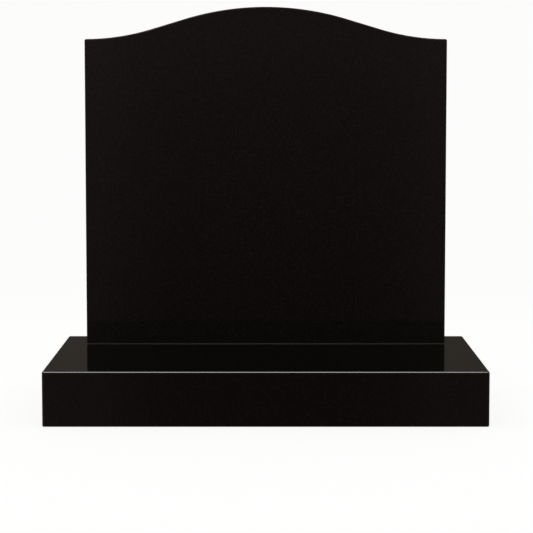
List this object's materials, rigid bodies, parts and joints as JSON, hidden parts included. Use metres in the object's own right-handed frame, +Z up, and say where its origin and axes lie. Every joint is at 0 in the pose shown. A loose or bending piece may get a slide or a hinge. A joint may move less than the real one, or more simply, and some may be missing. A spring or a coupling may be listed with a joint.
{
  "type": "headstone",
  "caption": "Polished black granite headstone: serpentine-topped upright tablet standing at the back of a low rectangular base, face left bare.",
  "frame": {"origin": "middle of the base's underside, which is also the middle of the plan", "axes": "+X to the right seen from the front, the tablet's face looks to -Y, +Z up"},
  "size_m": [0.61, 0.305, 0.58],
  "materials": {
    "black_granite": "polished"
  },
  "bodies": {
    "root": {"tablet": "black_granite", "base": "black_granite"}
  },
  "joints": []
}
